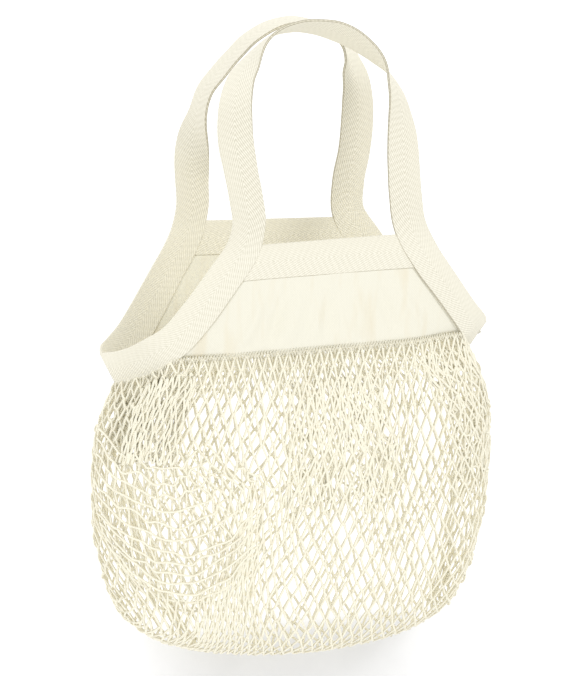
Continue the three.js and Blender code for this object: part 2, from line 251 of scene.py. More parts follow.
def tape_run(stations):
    """A tape's middle, tangent, width direction and face direction, in millimetres."""
    s = np.array(stations, float)
    bearing, tilt = np.radians(s[:, 3]), np.radians(s[:, 4])
    width = np.stack([np.cos(tilt) * np.cos(bearing), np.cos(tilt) * np.sin(bearing), np.sin(tilt)], 1)
    middle, across = spline(s[:, :3], SPAN_STEPS), spline(width, SPAN_STEPS, centripetal=False)
    along = length_along(middle)
    at = np.linspace(0, along[-1], int(along[-1] / TAPE_STEP))
    middle, across = resample(middle, along, at), resample(across, along, at)
    tangent = unit(np.gradient(middle, axis=0))
    across = unit(across - (across * tangent).sum(1, keepdims=True) * tangent)
    return {"middle": middle, "tangent": tangent, "across": across,
            "face": np.cross(across, tangent), "along": at}


def piece(name, points, faces, finish, slot, stands_for, **maps):
    """A smooth-shaded mesh from millimetres in the design, with its surface maps, for a CAD node."""
    mesh = bpy.data.meshes.new(name)
    placed = (np.asarray(points, float) + DESIGN_ORIGIN) * MM
    mesh.from_pydata(placed.tolist(), [], faces)
    mesh.shade_smooth()
    for key, values in maps.items():
        mesh.attributes.new(key, "FLOAT_VECTOR", "POINT").data.foreach_set(
            "vector", np.asarray(values, np.float32).ravel())
    mesh.materials.append(finish)
    made = add_object(name, mesh)
    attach(made, "root")
    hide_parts(stands_for)
    return made


def tube_faces(rings, sides, start=0, closed=False):
    """Quads between the rings of a tube, which closes on itself or has a face over each end."""
    ring, k = np.arange(rings if closed else rings - 1)[:, None], np.arange(sides)[None]
    on, turned = (ring + 1) % rings, (k + 1) % sides
    quads = np.stack(np.broadcast_arrays(ring * sides + k, ring * sides + turned,
                                         on * sides + turned, on * sides + k), -1)
    faces = (start + quads.reshape(-1, 4)).tolist()
    if closed:
        return faces
    last = start + (rings - 1) * sides
    return faces + [list(range(start + sides - 1, start - 1, -1)), list(range(last, last + sides))]


def tape_profile():
    """A doubled tape's section: a fold along the outer edge, two selvedges along the inner."""
    half = TAPE_WIDTH / 2
    w = np.linspace(-half + EDGE_ROUND, half - EDGE_ROUND, 25)
    selvedge, spine = 0.10 * ridge(w, half - 1.0, 0.7), 0.05 * ridge(w, 0, 0.8)
    sewn = 0.20 * ridge(w, half - SEWN_IN, SEWN_WIDTH)
    top = np.stack([w, TAPE_LAYER + selvedge - spine - sewn], 1)
    lips = np.array([[half - 0.1, 0.75], [half, 0.5], [half - 0.7, 0.1], [half - 0.7, -0.1],
                     [half, -0.5], [half - 0.1, -0.75]])
    fold = np.array([[0.1 - half, -0.62], [-half, -0.2], [-half, 0.2], [0.1 - half, 0.62]])
    return np.vstack([top, lips, top[::-1] * (1, -1), fold])


def tape_piece(name, run, other, taper):
    """A doubled tape along its run, mitred where it meets the other, one corner turned under."""
    profile = tape_profile()
    sides, rings = len(profile), len(run["middle"])
    s = run["along"][:, None]
    w = profile[:, 0][None, :]
    swell = sum(height * np.sin(s / long + w / wide + start) for height, long, wide, start in SWELL)
    points = (run["middle"][:, None] + run["across"][:, None] * w[..., None]
              + run["face"][:, None] * (profile[:, 1][None, :] + swell)[..., None])
    rounding = smooth(1 - (run["along"][-1] - s) / CORNER_LENGTH) * (w < 0) * taper
    points -= run["across"][:, None] * (w * rounding)[..., None]
    for end, sign in ((0, 1), (-1, -1)):
        tangent = run["tangent"][end]
        normal = unit(sign * (tangent - other["tangent"][end]))
        slide = (END_GAP - (points[end] - run["middle"][end]) @ normal) / (tangent @ normal)
        points[end] += np.clip(slide, -CORNER, CORNER)[:, None] * tangent
    points[..., 2] = np.maximum(points[..., 2], FLOOR_CLEAR)
    cloth = np.stack(np.broadcast_arrays(w + TAPE_WIDTH / 2, s, profile[:, 1][None, :]), -1)
    return piece(name, points.reshape(-1, 3), tube_faces(rings, sides), twill,
                 "cotton_herringbone_tape", name.replace("_cloth", ""), cloth_mm=cloth.reshape(-1, 3))


# Herringbone twill in undyed cotton: steep ribs fall away to both sides of a
# spine down the middle, in soft uneven yarn. Along the inner edge, between the
# two selvedges where the doubled tape is open, a dark line of painted shade
# stands for the shadow in the gap.
TWILL_PITCH = 1.5                     # real ribs are about 1 mm apart: too fine to show
TWILL_ANGLE = math.radians(27)
FLOAT_LENGTH = 4.2
LEGS_FROM, ARCH_FROM = 0.070, 0.165   # the Y between which the grooves are painted darker: painted shade on the legs
LEGS_FADE = 0.03                      # over which that painted shade comes in and goes


def linear(hex_colour):
    """An sRGB hex colour as linear red, green, blue and alpha."""
    parts = [int(hex_colour[i:i + 2], 16) / 255 for i in (1, 3, 5)]
    return [c / 12.92 if c <= 0.04045 else ((c + 0.055) / 1.055) ** 2.4 for c in parts] + [1.0]


def herringbone_cotton_tape():
    """Ribs with long floats in them, rubbed almost smooth along the folded outer edge, with painted shade
    along the open inner edge and on the legs.
    """
    made, tree, output = new_material("herringbone_cotton_tape")
    steep, level = math.cos(TWILL_ANGLE) * 2 * math.pi, math.sin(TWILL_ANGLE) * 2 * math.pi
    cloth = add_node(tree, "ShaderNodeAttribute", attribute_name="cloth_mm")
    place = add_node(tree, "ShaderNodeSeparateXYZ", {0: cloth.outputs["Vector"]})
    off = add_node(tree, "ShaderNodeMath", {0: place.outputs["X"], 1: TAPE_WIDTH / 2}, operation="SUBTRACT")
    side = add_node(tree, "ShaderNodeMath", {0: off.outputs[0]}, operation="ABSOLUTE")
    waver = add_node(tree, "ShaderNodeTexNoise", {"Vector": cloth.outputs["Vector"], "Scale": 0.35,
                     "Detail": 2.0})
    rib_across = add_node(tree, "ShaderNodeMath", {0: side.outputs[0], 1: steep / TWILL_PITCH},
                          operation="MULTIPLY")
    rib_along = add_node(tree, "ShaderNodeMath", {0: place.outputs["Y"], 1: level / TWILL_PITCH,
                         2: rib_across.outputs[0]}, operation="MULTIPLY_ADD")
    phase = add_node(tree, "ShaderNodeMath", {0: waver.outputs["Fac"], 1: 2.2, 2: rib_along.outputs[0]},
                     operation="MULTIPLY_ADD")
    rib = add_node(tree, "ShaderNodeMath", {0: phase.outputs[0]}, operation="SINE")
    float_across = add_node(tree, "ShaderNodeMath", {0: side.outputs[0], 1: -level / FLOAT_LENGTH},
                            operation="MULTIPLY")
    float_along = add_node(tree, "ShaderNodeMath", {0: place.outputs["Y"], 1: steep / FLOAT_LENGTH,
                           2: float_across.outputs[0]}, operation="MULTIPLY_ADD")
    floats = add_node(tree, "ShaderNodeMath", {0: float_along.outputs[0]}, operation="SINE")
    height = add_node(tree, "ShaderNodeMath", {0: floats.outputs[0], 1: 0.25, 2: rib.outputs[0]},
                      operation="MULTIPLY_ADD")
    wear_and_painted_shade = add_node(tree, "ShaderNodeMapRange", {"Value": place.outputs["X"], "From Min": 2.0,
                    "From Max": 13.0, "To Min": 0.35})
    shaped = add_node(tree, "ShaderNodeMath", {0: height.outputs[0], 1: wear_and_painted_shade.outputs["Result"]},
                      operation="MULTIPLY")
    fuzz = add_node(tree, "ShaderNodeTexNoise", {"Vector": cloth.outputs["Vector"], "Scale": 1.6,
                    "Detail": 4.0})
    relief = add_node(tree, "ShaderNodeMath", {0: fuzz.outputs["Fac"], 1: 1.6, 2: shaped.outputs[0]},
                      operation="MULTIPLY_ADD")
    tone = add_node(tree, "ShaderNodeMapRange", {"Value": relief.outputs[0], "From Min": -1.1,
                    "From Max": 2.0})
    # Painted shade: on the legs, between LEGS_FROM and ARCH_FROM, the grooves take a darker colour.
    here = add_node(tree, "ShaderNodeTexCoord")
    spot = add_node(tree, "ShaderNodeSeparateXYZ", {0: here.outputs["Object"]})
    legs = add_node(tree, "ShaderNodeMapRange", {"Value": spot.outputs["Y"], "From Min": LEGS_FROM,
                    "From Max": LEGS_FROM + LEGS_FADE}, interpolation_type="SMOOTHSTEP")
    arch = add_node(tree, "ShaderNodeMapRange", {"Value": spot.outputs["Y"], "From Min": ARCH_FROM,
                    "From Max": ARCH_FROM + LEGS_FADE, "To Min": 1.0, "To Max": 0.0},
                    interpolation_type="SMOOTHSTEP")
    painted_leg_shade = add_node(tree, "ShaderNodeMath", {0: legs.outputs["Result"], 1: arch.outputs["Result"]},
                      operation="MULTIPLY")
    groove = add_node(tree, "ShaderNodeMix", {0: painted_leg_shade.outputs[0], 6: linear("#d3cfbc"),
                      7: linear("#c2bda8")}, data_type="RGBA")
    woven = add_node(tree, "ShaderNodeMix", {0: tone.outputs["Result"], 6: groove.outputs[2],
                     7: linear("#f4f0e1")}, data_type="RGBA")
    # Painted shade: a dark line along the inner edge stands for the shadow in the open gap between the
    # selvedges.
    between = add_node(tree, "ShaderNodeMapRange", {"Value": place.outputs["X"],
                       "From Min": TAPE_WIDTH - 0.4, "From Max": TAPE_WIDTH - 0.15})
    colour = add_node(tree, "ShaderNodeMix", {0: between.outputs["Result"], 6: woven.outputs[2],
                      7: linear("#b5ae98")}, data_type="RGBA")
    bump = add_node(tree, "ShaderNodeBump", {"Height": relief.outputs[0], "Strength": 0.5,
                    "Distance": 0.12 * MM})
    cotton = add_node(tree, "ShaderNodeBsdfPrincipled", {"Base Color": colour.outputs[2], "Roughness": 0.88,
                      "Specular IOR Level": 0.2, "Sheen Weight": 0.15, "Sheen Roughness": 0.5,
                      "Normal": bump.outputs["Normal"]})
    tree.links.new(cotton.outputs["BSDF"], output.inputs["Surface"])
    return made


twill = herringbone_cotton_tape()
front_run, back_run = tape_run(FRONT_TAPE), tape_run(BACK_TAPE)
tape_piece("front_handle_tape_cloth", front_run, back_run, taper=0.08)
tape_piece("back_handle_tape_cloth", back_run, front_run, taper=0.75)

# ---------------------------------------------------------- the canvas panels
# Two trapezoids of undyed plain-weave canvas that carry the net. Their slanted
# edges are caught between the two layers of the long tapes, and the lower edges
# are overlocked to the net, whose weight pulls soft upright folds into them.
HEM_DEPTH = 25.0
FRONT_TOP = (314.0, 314.0)            # left and right, from the foot of the bag
BACK_TOP = (315.5, 311.0)             # the back panel hangs a little askew
FRONT_SEAM = (236.0, 236.0)
BACK_SEAM = (228.0, 235.0)
FRONT_LEVEL = 97.0
BACK_LEVEL = 0.5
CANVAS_THICKNESS = 0.8
PANEL_CELLS = (300, 60)               # of the mesh, across and down
ROLL_START = 0.5                      # share of the half width that stays level
TUCK = 3.0                            # how far the canvas goes in between the tape's layers
HEM_TUCK = 8.0
CAUGHT = 0.5                          # how deep the tape's edge presses into the canvas
THREAD = 0.9                          # real threads are 0.45 mm apart: too fine to show
# Each fold's place across and its width, as shares, its height, and how far it leans.
FRONT_CREASES = [(0.18, 0.030, 2.6, 0.02), (0.27, 0.025, -2.2, 0.03), (0.36, 0.035, 2.4, 0.0),
                 (0.46, 0.020, 1.4, 0.0), (0.52, 0.035, -2.0, -0.02), (0.63, 0.040, 2.4, 0.0),
                 (0.74, 0.030, -2.4, 0.02), (0.84, 0.025, 1.8, 0.02)]
BACK_CREASES = [(0.3, 0.06, 1.0, 0.0), (0.6, 0.07, 1.3, 0.03)]


def inner_edge(run, gap):
    """The tape's edge that faces into the loop, a gap away from the tape."""
    return run["middle"] + run["across"] * (TAPE_WIDTH / 2 + gap)


def edge_at(edge, y, right_side):
    """Where the edge crosses heights y, on its left or its right slope."""
    half = len(edge) // 2
    slope = edge[half:][::-1] if right_side else edge[:half]
    rising = slope[: int(np.argmax(slope[:, 1]))]
    keep = np.concatenate([[True], np.diff(np.maximum.accumulate(rising[:, 1])) > 1e-6])
    rising = rising[keep]
    return resample(rising, rising[:, 1], y)


def panel_points(edge, top, bottom, cells, level):
    """A grid over a panel from top to bottom, level in the middle and rolled at the sides."""
    columns, rows = cells
    down = np.linspace(0, 1, rows + 1)
    left = edge_at(edge, top[0] + (bottom[0] - top[0]) * down, False)[:, None]
    right_edge = edge_at(edge, top[1] + (bottom[1] - top[1]) * down, True)[:, None]
    share = np.linspace(0, 1, columns + 1)[None, :, None]
    grid = left + (right_edge - left) * share
    roll = smooth((np.abs(share * 2 - 1) - ROLL_START) / (1 - ROLL_START))[..., 0]
    outer = np.where(share[..., 0] < 0.5, left[..., 2], right_edge[..., 2])
    grid[..., 2] = level + (outer - level) * roll
    return grid


def sheet_piece(name, grid, half_thick, cloth, finish, slot):
    """A closed sheet on both sides of a grid, none of it below the floor."""
    lift = np.zeros(grid.shape)
    lift[..., 2] = half_thick
    lower = grid - lift
    lower[..., 2] = np.maximum(lower[..., 2], FLOOR_CLEAR)
    points = np.concatenate([(grid + lift).reshape(-1, 3), lower.reshape(-1, 3)])
    rows, columns = grid.shape[:2]
    under = rows * columns
    index = np.arange(under).reshape(rows, columns)
    a, b = index[:-1, :-1].ravel(), index[:-1, 1:].ravel()
    c, d = index[1:, :-1].ravel(), index[1:, 1:].ravel()
    rim = np.concatenate([index[0, :-1], index[:-1, -1], index[-1, :0:-1], index[:0:-1, 0]])
    after = np.roll(rim, -1)
    faces = np.concatenate([np.stack(corners, 1) for corners in (
        (a, c, d, b), (a + under, b + under, d + under, c + under),
        (rim, after, after + under, rim + under))])
    return piece(name, points, faces.tolist(), finish, slot, name.replace("_cloth", ""),
                 cloth_mm=np.concatenate([cloth.reshape(-1, 3)] * 2))


def plain_weave_canvas():
    """Plain weave: warp and weft over and under in turn, with slubs, and browner upright streaks of painted
    shade for the folds.
    """
    made, tree, output = new_material("plain_weave_canvas")
    cloth = add_node(tree, "ShaderNodeAttribute", attribute_name="cloth_mm")
    scaled = add_node(tree, "ShaderNodeVectorMath", {0: cloth.outputs["Vector"],
                      1: (math.pi / THREAD,) * 3}, operation="MULTIPLY")
    place = add_node(tree, "ShaderNodeSeparateXYZ", {0: scaled.outputs["Vector"]})
    warp = add_node(tree, "ShaderNodeMath", {0: place.outputs["X"]}, operation="SINE")
    weft = add_node(tree, "ShaderNodeMath", {0: place.outputs["Y"]}, operation="SINE")
    weave = add_node(tree, "ShaderNodeMath", {0: warp.outputs[0], 1: weft.outputs[0]}, operation="MULTIPLY")
    stretch = add_node(tree, "ShaderNodeVectorMath", {0: cloth.outputs["Vector"], 1: (0.9, 0.08, 1.0)},
                       operation="MULTIPLY")
    slub = add_node(tree, "ShaderNodeTexNoise", {"Vector": stretch.outputs["Vector"], "Scale": 1.0,
                    "Detail": 3.0})
    relief = add_node(tree, "ShaderNodeMath", {0: slub.outputs["Fac"], 1: 1.5, 2: weave.outputs[0]},
                      operation="MULTIPLY_ADD")
    tone = add_node(tree, "ShaderNodeMapRange", {"Value": relief.outputs[0], "From Min": -0.6,
                    "From Max": 1.9})
    woven = add_node(tree, "ShaderNodeMix", {0: tone.outputs["Result"], 6: linear("#e4e1d1"),
                     7: linear("#ece9da")}, data_type="RGBA")
    # Painted shade: upright streaks of noise, browner and darker, stand for the shade in the folds.
    drawn = add_node(tree, "ShaderNodeVectorMath", {0: cloth.outputs["Vector"], 1: (0.09, 0.018, 0.0)},
                     operation="MULTIPLY")
    fold_shade_streaks = add_node(tree, "ShaderNodeTexNoise", {"Vector": drawn.outputs["Vector"], "Scale": 1.0,
                      "Detail": 2.5})
    wear_and_painted_shade = add_node(tree, "ShaderNodeMapRange", {"Value": fold_shade_streaks.outputs["Fac"], "From Min": 0.52,
                    "From Max": 0.72, "To Max": 0.55})
    colour = add_node(tree, "ShaderNodeMix", {0: wear_and_painted_shade.outputs["Result"], 6: woven.outputs[2],
                      7: linear("#e3dac2")}, data_type="RGBA")
    bump = add_node(tree, "ShaderNodeBump", {"Height": relief.outputs[0], "Strength": 0.35,
                    "Distance": 0.05 * MM})
    cotton = add_node(tree, "ShaderNodeBsdfPrincipled", {"Base Color": colour.outputs[2], "Roughness": 0.9,
                      "Specular IOR Level": 0.2, "Sheen Weight": 0.1, "Sheen Roughness": 0.5,
                      "Normal": bump.outputs["Normal"]})
    tree.links.new(cotton.outputs["BSDF"], output.inputs["Surface"])
    return made


def canvas_panel(name, run, top, seam, level, creases):
    """A panel from inside its hem down to the seam, with the folds that the net pulls into it."""
    edge = inner_edge(run, -TUCK)
    upper_edge = (top[0] - HEM_DEPTH + HEM_TUCK, top[1] - HEM_DEPTH + HEM_TUCK)
    grid = panel_points(edge, upper_edge, seam, PANEL_CELLS, level)
    share = np.linspace(0, 1, grid.shape[1])[None, :]
    down = np.linspace(0, 1, grid.shape[0])[:, None]
    wave = sum(height * ridge(share, middle + lean * down, width)
               for middle, width, height, lean in creases)
    below_hem = smooth((down - 0.17) / 0.45)
    off_side = smooth((0.5 - np.abs(share - 0.5)) / 0.12)
    held_flat = 0.85 * smooth((down - 0.75) / 0.22)           # by the seam
    from_side = np.minimum(grid[..., 0] - grid[:, :1, 0], grid[:, -1:, 0] - grid[..., 0])
    caught = CAUGHT * ridge(from_side, TUCK * 1.3 + 0.2, 0.7)
    grid[..., 2] += wave * below_hem * off_side * (1 - held_flat) - caught
    return sheet_piece(name, grid, CANVAS_THICKNESS / 2, grid, canvas, "cotton_canvas")


canvas = plain_weave_canvas()
front_panel = canvas_panel("front_panel_cloth", front_run, FRONT_TOP, FRONT_SEAM, FRONT_LEVEL,
                           FRONT_CREASES)
back_panel = canvas_panel("back_panel_cloth", back_run, BACK_TOP, BACK_SEAM, BACK_LEVEL, BACK_CREASES)

# --------------------------------------------------------------- the top hems
# The same tape, folded over the raw top edge of each panel and sewn along its
# lower side. It runs from one long tape to the other.
BACK_HEM_LEVEL = 1.0
HEM_CELLS = (160, 30)
HEM_EDGE, HEM_BODY = 0.41, 0.37       # half its thickness at an edge, and how much more inside


def top_hem(name, run, top, level):
    """A tape across the top of a panel, with rounded edges and a stitched groove."""
    edge = inner_edge(run, -TUCK * 0.5)
    foot = (top[0] - HEM_DEPTH, top[1] - HEM_DEPTH)
    grid = panel_points(edge, top, foot, HEM_CELLS, level)
    down = np.linspace(0, HEM_DEPTH, grid.shape[0])[:, None]
    x = grid[..., 0]
    side = np.minimum(down, HEM_DEPTH - down)
    thick = HEM_EDGE + HEM_BODY * (1 - np.exp(-side / 1.1)) + 0.05 * np.sin(x / 9) * np.sin(down / 5)
    thick = thick - 0.14 * ridge(down, HEM_DEPTH - SEWN_IN, SEWN_WIDTH)
    cloth = np.stack([np.broadcast_to(down, x.shape), x, grid[..., 2]], -1)
    return sheet_piece(name, grid, thick, cloth, twill, "cotton_herringbone_tape")


front_hem = top_hem("front_top_tape_cloth", front_run, FRONT_TOP, FRONT_LEVEL)
back_hem = top_hem("back_top_tape_cloth", back_run, BACK_TOP, BACK_HEM_LEVEL)

# -------------------------------------------------------------------- the net
# Soft undyed cotton cord, 1.7 mm thick, looped into diamonds with 11 mm sides:
# 76 round the bag and 25 courses from the seam to the foot, where the front and
# the back are joined. Each course of cord zigzags between two rows of loops.
CORD = 1.7
STRAND = 10.9                         # loop to loop along the cord
ROUND = 76                            # stitches round the bag
FRONT_STITCHES = 40                   # of them along the front of the seam
COURSES = 25
BACK_SEAM_LEVEL = 1.2
SEAM_CELLS = (60, 1)
MOUTH_MID = 50.0
NET_HALF_DEPTH = 48.6
NET_FOOT_LEVEL = 42.0
FRONT_FULLNESS, BACK_FULLNESS = 2.4, 3.2
SEAM_REACH, FOOT_START = 0.4, 0.3     # shares down: to where the seam shapes it, from where the foot
OUTLINE_STEPS = 20                    # to each span of these three lines
NET_LEFT = [(-137, 212), (-147.5, 185), (-154.5, 152), (-153.5, 118), (-147, 84), (-139, 58), (-128, 39)]
NET_FOOT = [(-128, 39), (-111, 24), (-78, 11), (-36, 3), (8, 0), (50, 1.5), (88, 8), (111, 18),
            (125, 34)]
NET_RIGHT = [(128, 223.5), (141, 200), (149, 163), (149, 128), (144, 88), (136.5, 56), (125, 34)]


def seam_line(run, seam, level):
    """The line that the net hangs from: a tape's edge, the canvas edge, the tape's edge."""
    edge = inner_edge(run, 0.0)
    half = len(edge) // 2
    sewn = panel_points(edge, seam, seam, SEAM_CELLS, level)[0] - (0, 1.0, 0)
    left = edge[:half][edge[:half, 1] < seam[0] - 1]
    right_part = edge[half:][edge[half:, 1] < seam[1] - 1]
    return np.concatenate([left, sewn, right_part])


def even(line, count):
    """count points evenly spaced along a line."""
    along = length_along(line)
    return resample(line, along, np.linspace(0, along[-1], count))


def side_x(outline, y):
    """The x of a side outline at heights y."""
    line = spline(outline, OUTLINE_STEPS)
    return np.interp(-y, -line[:, 1], line[:, 0])


def net_surface(seam, front, columns=161, rows=121):
    """A fine grid over the front or the back of the net, from the seam line to the foot."""
    top = even(seam, columns)[None]
    u = np.linspace(0, 1, columns)[None]
    v = np.linspace(0, 1, rows)[:, None]
    swing = (1 - np.cos(np.pi * u)) / 2
    foot = spline(NET_FOOT, OUTLINE_STEPS)
    foot_along = length_along(foot)
    low = resample(foot, foot_along, swing[0] * foot_along[-1])[None]
    left_top, right_top = top[:, :1], top[:, -1:]
    top_spread = (top[..., 0] - left_top[..., 0]) / (right_top[..., 0] - left_top[..., 0])
    spread = top_spread + (swing - top_spread) * smooth(v / SEAM_REACH)
    y_left = left_top[..., 1] + (foot[0, 1] - left_top[..., 1]) * v
    y_right = right_top[..., 1] + (foot[-1, 1] - right_top[..., 1]) * v
    x_left, x_right = side_x(NET_LEFT, y_left), side_x(NET_RIGHT, y_right)
    sweep = low[..., 0] - (foot[0, 0] + (foot[-1, 0] - foot[0, 0]) * spread)
    x = x_left + (x_right - x_left) * spread + sweep * smooth((v - FOOT_START) / (1 - FOOT_START))
    y = top[..., 1] + (low[..., 1] - top[..., 1]) * v
    power = FRONT_FULLNESS if front else BACK_FULLNESS
    crown = (1 - np.abs(2 * spread - 1) ** power) ** (1 / power)
    close = (1 - v ** (power + 1)) ** (1 / power)
    side_level = left_top[..., 2] + (right_top[..., 2] - left_top[..., 2]) * u
    side_level = side_level + (MOUTH_MID - side_level) * smooth(v * 2)
    spine = side_level + (NET_FOOT_LEVEL - side_level) * smooth((v - SEAM_REACH) / (1 - SEAM_REACH))
    depth = NET_HALF_DEPTH if front else spine - CORD / 2
    full = spine + (1 if front else -1) * depth * crown * close
    z = top[..., 2] + (full - top[..., 2]) * smooth(v * 3)
    grid = np.stack([x, y, z], -1)
    for i in range(columns):
        grid[:, i] = even(grid[:, i], rows)
    return grid


front_net = net_surface(seam_line(front_run, FRONT_SEAM, FRONT_LEVEL), True)
back_net = net_surface(seam_line(back_run, BACK_SEAM, BACK_SEAM_LEVEL), False)


def on_surface(surface, u, v):
    """Points of a surface at shares u across and v down."""
    rows, columns = surface.shape[:2]
    r, c = np.clip(v, 0, 1) * (rows - 1), np.clip(u, 0, 1) * (columns - 1)
    i, k = np.minimum(r.astype(int), rows - 2), np.minimum(c.astype(int), columns - 2)
    fr, fc = (r - i)[..., None], (c - k)[..., None]
    return ((surface[i, k] * (1 - fc) + surface[i, k + 1] * fc) * (1 - fr)
            + (surface[i + 1, k] * (1 - fc) + surface[i + 1, k + 1] * fc) * fr)


# How the net has fallen over the front: for some of its courses, where chosen
# stitches lie, as the share across and the share down. They crowd into folds;
# to the left the slack net comes round the side and droops in wide curves.
FRONT_FALL = [
    (0, [(0, 0, 0), (40, 1, 0)]),
    (7, [(0, 0, 0.283), (2, 0.075, 0.267), (4, 0.138, 0.258), (5.5, 0.175, 0.267), (8.5, 0.25, 0.292),
         (13, 0.356, 0.317), (14.5, 0.369, 0.325), (17.5, 0.431, 0.333), (20, 0.463, 0.333),
         (24.5, 0.531, 0.333), (29, 0.606, 0.333), (30.5, 0.625, 0.333), (34.5, 0.738, 0.342),
         (40, 1, 0.36)]),
    (11, [(-0.5, 0, 0.5), (1.5, 0.113, 0.492), (4, 0.2, 0.483), (7, 0.269, 0.45), (9.5, 0.319, 0.408),
          (12, 0.369, 0.367), (14, 0.394, 0.35), (18, 0.438, 0.408), (21.5, 0.463, 0.458),
          (29, 0.613, 0.475), (30.5, 0.631, 0.475), (34.5, 0.744, 0.483), (40, 1, 0.53)]),
    (15, [(-1.5, 0, 0.683), (-1, 0.044, 0.683), (1.5, 0.163, 0.667), (4.5, 0.244, 0.642),
          (7.5, 0.306, 0.583), (9.5, 0.344, 0.533), (11, 0.369, 0.515), (17, 0.406, 0.592),
          (19.5, 0.444, 0.625), (22, 0.487, 0.625), (29, 0.625, 0.625), (30.5, 0.656, 0.625),
          (34.5, 0.75, 0.642), (40, 1, 0.70)]),
    (19, [(-2, 0, 0.81), (-1, 0.113, 0.808), (2.5, 0.22, 0.792), (5, 0.27, 0.775), (7, 0.305, 0.742),
          (12, 0.345, 0.733), (16.5, 0.388, 0.767), (20, 0.438, 0.775), (29, 0.625, 0.767),
          (30.5, 0.656, 0.767), (34.5, 0.744, 0.775), (40, 1, 0.85)]),
    (22, [(-2.5, 0, 0.89), (-1, 0.15, 0.892), (3, 0.25, 0.875), (6, 0.305, 0.858), (14, 0.385, 0.85),
          (20, 0.456, 0.867), (29, 0.619, 0.858), (34.5, 0.738, 0.858), (40, 1, 0.92)]),
    (25, [(-3, 0, 1), (-0.5, 0.1, 1), (2.5, 0.18, 1), (6, 0.26, 1), (13, 0.36, 1), (19, 0.44, 1),
          (29, 0.62, 1), (34.5, 0.76, 1), (40, 1, 1)])]
FROM_BEHIND = 3                       # most stitches that come round the left side
# The back lies flatter, in five folds: each one's width across, then how far
# down and across it runs and how many more strands it holds.
BACK_FOLDS = [
    (0.030, [(0.0, 0.20, 0.4), (0.4, 0.22, 2.0), (0.8, 0.30, 3.0), (1.0, 0.32, 2.0)]),
    (0.030, [(0.0, 0.38, 0.4), (0.5, 0.40, 2.5), (0.8, 0.45, 3.0), (1.0, 0.46, 2.0)]),
    (0.030, [(0.0, 0.58, 0.4), (0.5, 0.60, 1.8), (1.0, 0.58, 1.5)]),
    (0.030, [(0.0, 0.76, 0.4), (0.5, 0.74, 2.5), (1.0, 0.70, 1.5)]),
    (0.050, [(0.0, 0.90, 0.4), (0.5, 0.88, 1.2), (1.0, 0.86, 0.8)])]
LOOSE = 0.15                          # how unevenly the loops lie, in cells
noise = np.random.default_rng(7)


def eased(field, passes):
    """A field with the corners between its rows rounded off."""
    for _ in range(passes):
        field[1:-1] = (field[:-2] + 2 * field[1:-1] + field[2:]) / 4
    return field


def front_fall():
    """Share across, share down and crowding of every half stitch, and each course's first stitch."""
    stitches = np.arange(-FROM_BEHIND, FRONT_STITCHES + 0.25, 0.5)
    rows = [row for row, _ in FRONT_FALL]
    known = [np.array(places, float).T for _, places in FRONT_FALL]
    every = np.arange(COURSES + 1)
    fields = []
    for k in (1, 2):
        at_known = np.stack([np.interp(stitches, places[0], places[k]) for places in known])
        fields.append(eased(resample(at_known, rows, every), 2))
    first = np.interp(every, rows, [places[0, 0] for places in known])
    crowd = 0.5 / FRONT_STITCHES / np.maximum(np.gradient(fields[0], axis=1), 1e-3)
    return fields[0], fields[1], eased(crowd.T.copy(), 2).T, eased(first, 2)


def crowding(across, down, folds):
    """How many times closer than even the strands lie, at shares across and down."""
    crowd = np.ones_like(across)
    for width, run in folds:
        v, u, extra = np.array(run).T
        crowd = crowd + np.interp(down, v, extra) * ridge(across, np.interp(down, v, u), width)
    return crowd


def lie(surface, u, v, crowd, row):
    """Places on a surface, a little uneven, and how far each is pushed in or out there."""
    middle = smooth(np.minimum(u, 1 - u) * 12) * (0 < row < COURSES)
    v = v + noise.normal(0, LOOSE, u.shape) * middle / COURSES
    place = on_surface(surface, u + noise.normal(0, LOOSE, u.shape) * middle / FRONT_STITCHES / crowd, v)
    layered = np.sin(2.4 * np.arange(len(u)) + 0.4 * row)
    return place, (np.clip(crowd - 1, 0, 2.5) * 0.9 * (layered - 0.8) + 0.4 * np.sin(40 * u)) * middle


fall_across, fall_down, fall_crowd, first_stitch = front_fall()
fine = np.linspace(0, 1, 801)         # shares across the back
knots = np.zeros((COURSES + 1, ROUND, 3))
inward = np.zeros((COURSES + 1, ROUND))
for row in range(COURSES + 1):
    at = np.arange(ROUND) + 0.5 * (row % 2)
    at = np.where(at - ROUND >= first_stitch[row], at - ROUND, at)
    front = at <= FRONT_STITCHES
    half = ((at[front] + FROM_BEHIND) * 2).astype(int)
    knots[row, front], inward[row, front] = lie(front_net, fall_across[row, half], fall_down[row, half],
                                                fall_crowd[row, half], row)
    last = ROUND + first_stitch[row]
    share = (last - at[~front]) / (last - FRONT_STITCHES)
    down = row / COURSES
    crowd = crowding(fine, down, BACK_FOLDS)
    count = np.concatenate([[0], np.cumsum((crowd[1:] + crowd[:-1]) / 2)])
    u = np.interp(share, count / count[-1], fine)
    knots[row, ~front], inward[row, ~front] = lie(back_net, u, np.full(u.shape, down),
                                                  np.interp(u, fine, crowd), row)


def facing(points):
    """Directions out of the bag at each loop, and along its row."""
    along_row = np.roll(points, -1, 1) - np.roll(points, 1, 1)
    return unit(np.cross(np.gradient(points, axis=0), along_row)), unit(along_row)


knots += facing(knots)[0] * inward[..., None]

